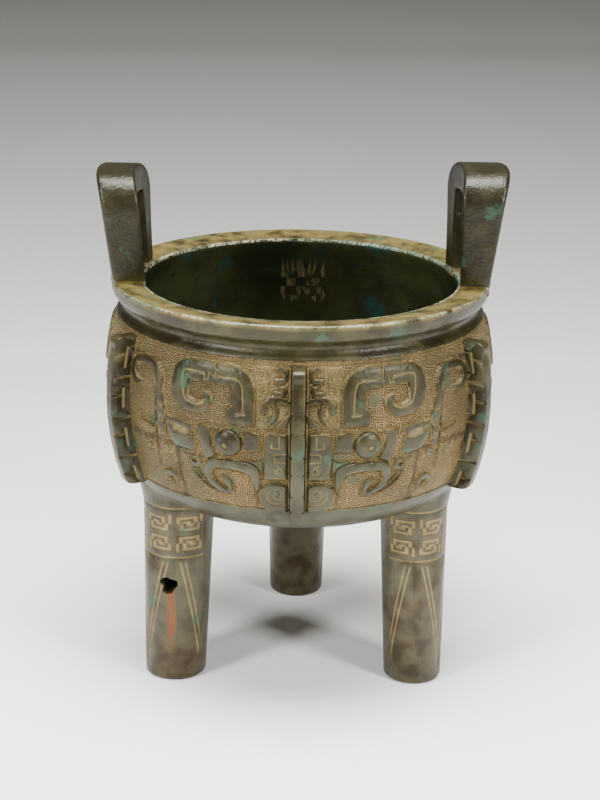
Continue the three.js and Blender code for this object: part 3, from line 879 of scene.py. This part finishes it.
def camera():
    data = bpy.data.cameras.new("camera")
    data.lens = CAMERA["lens"]
    obj = bpy.data.objects.new("camera", data)
    bpy.context.collection.objects.link(obj)
    tilt = Matrix.Rotation(math.radians(90 - CAMERA["down"]), 4, "X")
    roll = Matrix.Rotation(math.radians(CAMERA["roll"]), 4, "Z")
    obj.matrix_world = Matrix.Translation(CAMERA["place"]) @ tilt @ roll
    bpy.context.scene.camera = obj


# ---- Materials ----------------------------------------------------------------------------------

COLOURS = {
    "brown": (0.018, 0.013, 0.004),
    "olive": (0.026, 0.024, 0.008),
    "light olive": (0.048, 0.040, 0.015),
    "dark leg": (0.026, 0.018, 0.007),
    "leg": (0.062, 0.044, 0.02),
    "grey green": (0.06, 0.064, 0.04),
    "handle": (0.008, 0.007, 0.0025),
    "rust": (0.13, 0.045, 0.01),
    "gold": (0.13, 0.1, 0.03),
    "earth": (0.21, 0.16, 0.06),
    "pale earth": (0.32, 0.24, 0.1),
    "dark earth": (0.15, 0.11, 0.04),
    "cut": (0.035, 0.022, 0.007),
    "orange cut": (0.07, 0.032, 0.008),
    "verdigris": (0.022, 0.075, 0.045),
    "bowl": (0.018, 0.021, 0.008),
    "green bowl": (0.04, 0.044, 0.014),
    "blue green": (0.012, 0.05, 0.045),
    "blue black": (0.01, 0.012, 0.03),
    "stroke": (0.3, 0.28, 0.2),
    # pale rubbed bronze, which also serves as a painted highlight on the lip's edges
    "pale wear and highlight": (0.3, 0.28, 0.19),
    "green wear and highlight": (0.14, 0.21, 0.16),
    "near floor": (0.96, 0.95, 0.93),
    # painted shade for the top of the backdrop, where the light falls off
    "painted shade backdrop": (0.045, 0.0435, 0.04),
}


class Wire:
    """An output of a node tree that arithmetic can be written with."""

    def __init__(self, tree, socket):
        self.tree, self.socket = tree, socket

    def math(self, operation, *others):
        node = self.tree.nodes.new("ShaderNodeMath")
        node.operation = operation
        for slot, value in zip(node.inputs, (self, *others)):
            if isinstance(value, Wire):
                self.tree.links.new(value.socket, slot)
            else:
                slot.default_value = value
        return Wire(self.tree, node.outputs[0])

    def __add__(self, other):
        return self.math("ADD", other)

    def __sub__(self, other):
        return self.math("SUBTRACT", other)

    def __mul__(self, other):
        return self.math("MULTIPLY", other)

    def __neg__(self):
        return self.math("MULTIPLY", -1.0)

    def between(self, low, high):
        """0 up to low, 1 from high on, and a smooth step from one to the other."""
        node = self.tree.nodes.new("ShaderNodeMapRange")
        node.interpolation_type = "SMOOTHSTEP"
        self.tree.links.new(self.socket, node.inputs["Value"])
        node.inputs["From Min"].default_value, node.inputs["From Max"].default_value = low, high
        return Wire(self.tree, node.outputs["Result"])


class Patina:
    """Helpers that add nodes to one material."""

    def __init__(self, name):
        self.material = bpy.data.materials.new(name)
        self.material.use_nodes = True
        self.tree = self.material.node_tree
        self.shader = self.tree.nodes["Principled BSDF"]
        self.position = self.tree.nodes.new("ShaderNodeTexCoord").outputs["Object"]

    def attribute(self, name):
        node = self.tree.nodes.new("ShaderNodeAttribute")
        node.attribute_name = name
        return Wire(self.tree, node.outputs["Fac"])

    def axes(self):
        """x, y and z in millimetres."""
        node = self.tree.nodes.new("ShaderNodeSeparateXYZ")
        self.tree.links.new(self.position, node.inputs[0])
        return [Wire(self.tree, out) * (1 / MM) for out in node.outputs]

    def noise(self, per_metre, detail, seed):
        node = self.tree.nodes.new("ShaderNodeTexNoise")
        node.noise_dimensions = "4D"
        self.tree.links.new(self.position, node.inputs["Vector"])
        node.inputs["W"].default_value = seed
        node.inputs["Scale"].default_value = per_metre
        node.inputs["Detail"].default_value = detail
        return Wire(self.tree, node.outputs["Fac"])

    def mix(self, share, a, b):
        node = self.tree.nodes.new("ShaderNodeMix")
        node.data_type = "RGBA"
        self.tree.links.new(share.socket, node.inputs[0])
        for slot, value in ((node.inputs[6], a), (node.inputs[7], b)):
            if isinstance(value, tuple):
                slot.default_value = (*value, 1)
            else:
                self.tree.links.new(value, slot)
        return node.outputs[2]

    def bump(self, height, distance, normal=None):
        node = self.tree.nodes.new("ShaderNodeBump")
        node.inputs["Distance"].default_value = distance
        self.tree.links.new(height.socket, node.inputs["Height"])
        if normal:
            self.tree.links.new(normal, node.inputs["Normal"])
        return node.outputs["Normal"]

    def feed(self, name, value):
        slot = self.shader.inputs[name]
        if isinstance(value, (int, float, tuple)):
            slot.default_value = value
        else:
            self.tree.links.new(value.socket if isinstance(value, Wire) else value, slot)


def square_spirals(u, v, pitch=SPIRAL_PITCH):
    """How deep a point lies in the cut of its cell's square spiral, each cell turned its own way."""
    column, row = u.math("FLOOR"), v.math("FLOOR")
    turn = (column * 3.0 + row * 5.0).math("FLOORED_MODULO", 4.0) * (math.pi / 2)
    mirror = (column + row * 2.0).math("FLOORED_MODULO", 3.0).math("GREATER_THAN", 0.5) * 2.0 - 1.0
    x, y = (u - column - 0.5) * mirror, v - row - 0.5
    c, s = turn.math("COSINE"), turn.math("SINE")
    x, y = x * c + y * s, y * c - x * s
    upper = x.math("ABSOLUTE").math("MAXIMUM", y)
    lower = (x - pitch / 2).math("ABSOLUTE").math("MAXIMUM", -y)
    above = y.math("GREATER_THAN", 0.0)
    ring = lower + (upper - lower) * above
    phase = (ring * (1 / pitch) + 0.25).math("FRACT")
    return ((phase - 0.5).math("ABSOLUTE") * -4.4 + 1.7).math("MAXIMUM", 0.0).math("MINIMUM", 1.0)


def outer_skin(p, broad, middle):
    """Dark olive bronze, browner on the legs and the handles, greyer low on the bowl."""
    x, y, z = p.axes()
    top, bottom = LIP["top"], UNDERSIDE["bottom"]
    olive = p.mix(broad.between(0.4, 0.6), COLOURS["brown"], COLOURS["olive"])
    skin = p.mix(middle.between(0.45, 0.7), olive, COLOURS["light olive"])
    leg_skin = p.mix(middle.between(0.35, 0.65), COLOURS["dark leg"], COLOURS["leg"])
    skin = p.mix(z.between(bottom + 14, bottom - 2), skin, leg_skin)
    grey = (middle + broad).between(0.85, 1.15) * z.between(150, 120)
    skin = p.mix(grey * 0.45, skin, COLOURS["grey green"])
    skin = p.mix(z.between(top + 0.5, top + 7.5) * 0.65, skin, COLOURS["handle"])
    skin = p.mix(rust_streak(x, y, z, middle), skin, COLOURS["rust"])
    lip = z.between(top - 3, top - 1) * z.between(top + 1, top + 0.5)
    return p.mix(lip * middle.between(0.3, 0.6), skin, COLOURS["gold"])


def rust_streak(x, y, z, middle):
    """Where the streak below the casting hole runs, wavering a little."""
    across = (x + middle * 4.0 + 57.2).math("ABSOLUTE").between(2.6, 1.2)
    hole = FLAW["height"]
    return across * z.between(12, 30) * z.between(hole + 0.5, hole - 3.5) * y.between(-36, -40)


def bowl_skin(p, broad, recess):
    """The dark green inside, with blue-green and blue-black patches."""
    bowl = p.mix(broad.between(0.4, 0.6), COLOURS["bowl"], COLOURS["green bowl"])
    bowl = p.mix(p.noise(60, 5, 7.0).between(0.55, 0.68), bowl, COLOURS["blue green"])
    bowl = p.mix(p.noise(150, 4, 8.0).between(0.62, 0.7), bowl, COLOURS["blue black"])
    return p.mix(recess, bowl, COLOURS["stroke"])


def rubbed_and_highlit_edges(p, middle, fine):
    """Where the lip's outer and inner edges are pale: partly rubbed wear, partly a painted highlight along
    the edges.
    """
    x, y, z = p.axes()
    radius = (x * x + y * y).math("SQRT")
    top, outer, inner = LIP["top"], LIP["radius"], LIP["inner"]
    # thin pale strips on the lip's edges: rubbed wear and a painted highlight together
    outer_edge = z.between(top - 1.5, top - 0.7) * radius.between(outer - 1.2, outer - 0.5)
    inner_edge = z.between(top - 3.2, top - 2.7) * radius.between(inner + 2.1, inner + 1.1)
    edges = outer_edge * z.between(top + 0.7, top + 0.3) + inner_edge * z.between(top + 1, top)
    return edges * fine.between(0.4, 0.6) * middle.between(0.3, 0.55)


def bronze():
    p = Patina("patina")
    recess, ground, inside = (p.attribute(key) for key in ("recess", "ground", "inside"))
    cut = square_spirals(p.attribute("u"), p.attribute("v")) * ground
    broad, middle, fine = p.noise(28, 4, 1.0), p.noise(110, 5, 2.0), p.noise(700, 3, 3.0)

    skin = outer_skin(p, broad, middle)
    earth = p.mix(middle.between(0.4, 0.7), COLOURS["earth"], COLOURS["pale earth"])
    skin = p.mix(ground, skin, p.mix(broad.between(0.35, 0.65), COLOURS["dark earth"], earth))
    skin = p.mix(cut, skin, p.mix(broad.between(0.4, 0.62), COLOURS["cut"], COLOURS["orange cut"]))
    skin = p.mix(recess * 0.85, skin, earth)
    skin = p.mix(p.noise(85, 4, 5.0).between(0.6, 0.68) * 0.5, skin, COLOURS["verdigris"])
    skin = p.mix(inside, skin, bowl_skin(p, broad, recess))
    # the lip's edges painted pale: partly real wear, partly a painted highlight
    pale = p.mix(broad.between(0.45, 0.6), COLOURS["pale wear and highlight"], COLOURS["green wear and highlight"])
    skin = p.mix(rubbed_and_highlit_edges(p, middle, fine), skin, pale)

    p.feed("Base Color", skin)
    p.feed("Metallic", 0.25)
    p.feed("IOR", 1.5)
    p.feed("Specular IOR Level", 0.3)
    p.feed("Roughness", middle * 0.3 + 0.2 + ground * 0.25 + recess * 0.3 + inside * 0.05)
    normal = p.bump(fine * 0.4 + middle, 0.6 * MM)
    p.feed("Normal", p.bump(-cut, 0.5 * MM, normal))
    return p.material


# ---- Stage and lights ---------------------------------------------------------------------------


def stage():
    """A pale floor that sweeps up into a backdrop, with painted shade that darkens it upwards and away,
    standing in for the light falling off.
    """
    sweep = [(-900, 0), (260, 0), (480, 12), (660, 60), (790, 160), (860, 320), (900, 1200)]
    xs = np.linspace(-1600, 1600, 9)
    profile = curve(sweep, 8)
    points = np.array([(x, y, max(z, 0)) for y, z in profile for x in xs])
    obj = mesh_object("floor", points, grid_faces(len(profile), len(xs)))
    for polygon in obj.data.polygons:
        polygon.use_smooth = True
    p = Patina("paper")
    _, y, z = p.axes()
    # painted shade: the mask darkens the backdrop upwards and away, as if less light reached it
    far = (y + z * 0.9).between(-300, 1150)
    p.feed("Base Color", p.mix(far, COLOURS["near floor"], COLOURS["painted shade backdrop"]))
    p.feed("Roughness", 0.95)
    p.feed("Specular IOR Level", 0.0)
    obj.data.materials.append(p.material)


def area_light(name, at, target, size, power):
    data = bpy.data.lights.new(name, "AREA")
    data.shape, data.size, data.size_y, data.energy = "RECTANGLE", size[0], size[1], power
    obj = bpy.data.objects.new(name, data)
    bpy.context.collection.objects.link(obj)
    aim = (Vector(target) - Vector(at)).to_track_quat("-Z", "Y").to_matrix().to_4x4()
    obj.matrix_world = Matrix.Translation(at) @ aim


def lights():
    """One soft light above, a tall one on each side, and a dim grey world."""
    area_light("above", (0, -0.1, 1.3), (0, 0, 0.1), (0.8, 0.6), 60)
    area_light("left", (-1.0, -0.9, 0.8), (0, 0, 0.12), (0.3, 0.8), 26)
    area_light("right", (1.0, -0.85, 0.75), (0, 0, 0.12), (0.3, 0.8), 24)
    world = bpy.data.worlds.new("studio")
    world.use_nodes = True
    background = world.node_tree.nodes["Background"]
    background.inputs["Color"].default_value = (0.8, 0.8, 0.82, 1)
    background.inputs["Strength"].default_value = 0.14
    bpy.context.scene.world = world


def vessel():
    """The casting with its material, in place of the CAD's solid."""
    ding = casting()
    ding.name = "ding_vessel_bronze"
    ding.data.materials.clear()
    ding.data.materials.append(bronze())
    ding.data.set_sharp_from_angle(angle=math.radians(40))
    for polygon in ding.data.polygons:
        polygon.use_smooth = True
    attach(ding, "root")
    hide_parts(NODE)


vessel()
camera()
stage()
lights()
